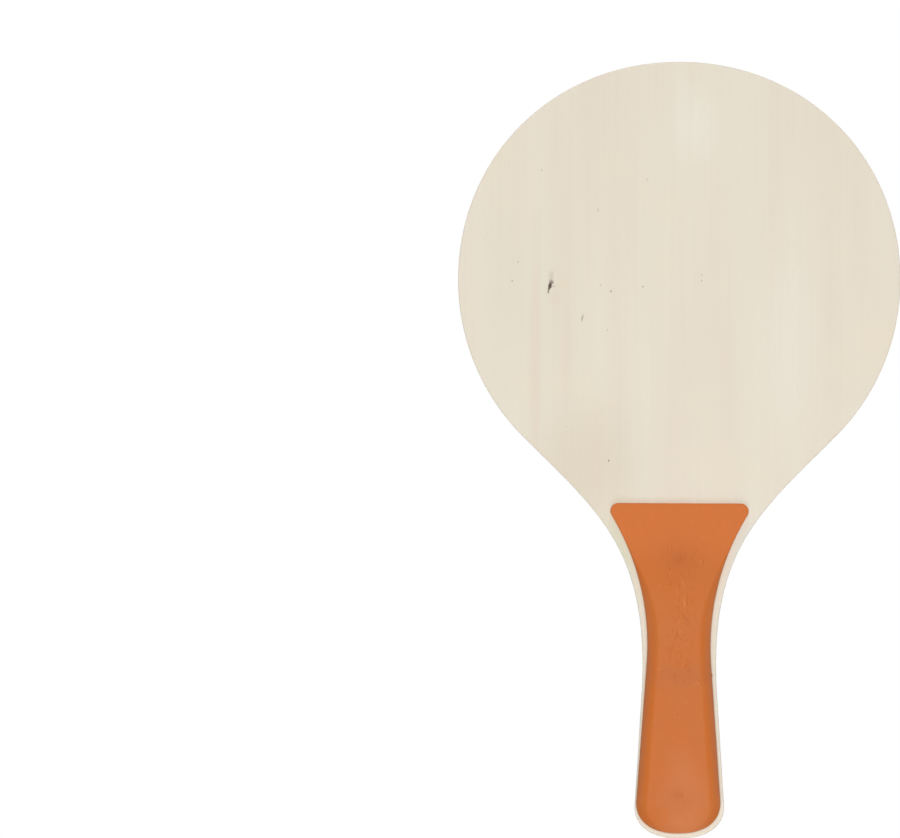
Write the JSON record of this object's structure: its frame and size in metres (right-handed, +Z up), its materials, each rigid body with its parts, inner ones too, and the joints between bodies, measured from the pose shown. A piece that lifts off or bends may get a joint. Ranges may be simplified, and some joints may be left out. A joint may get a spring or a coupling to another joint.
{
  "type": "beach bat",
  "caption": "Solid wooden beach bat: a round plywood striking blade that narrows into a waisted handle, with a ramped and rounded grip scale glued and pinned on each face.",
  "frame": {"origin": "middle of the blade's thickness at the waist of the grip, 73.5 mm above the butt end, where a hand closes on it", "axes": "+Z up the handle towards the head, -Y out of the front face, +X to the right seen from the front"},
  "size_m": [0.188, 0.0232, 0.33],
  "materials": {
    "poplar_face": "matte",
    "poplar_crossband": "matte",
    "poplar_core": "matte",
    "ply_glue": "satin",
    "grip_glue": "satin",
    "orange_paint": "satin",
    "putty": "matte",
    "brad_wire": "satin"
  },
  "bodies": {
    "root": {"face_veneer_front": "poplar_face", "face_veneer_back": "poplar_face", "crossband_front": "poplar_crossband", "crossband_back": "poplar_crossband", "core_veneer": "poplar_core", "glue_line_face_front": "ply_glue", "glue_line_core_front": "ply_glue", "glue_line_core_back": "ply_glue", "glue_line_face_back": "ply_glue", "grip_glue_front": "grip_glue", "grip_glue_back": "grip_glue", "grip_scale_front": "orange_paint", "grip_scale_back": "orange_paint", "brad_front_upper": "brad_wire", "putty_front_upper": "putty", "brad_front_lower": "brad_wire", "putty_front_lower": "putty", "brad_back_upper": "brad_wire", "putty_back_upper": "putty", "brad_back_lower": "brad_wire", "putty_back_lower": "putty"}
  },
  "joints": []
}
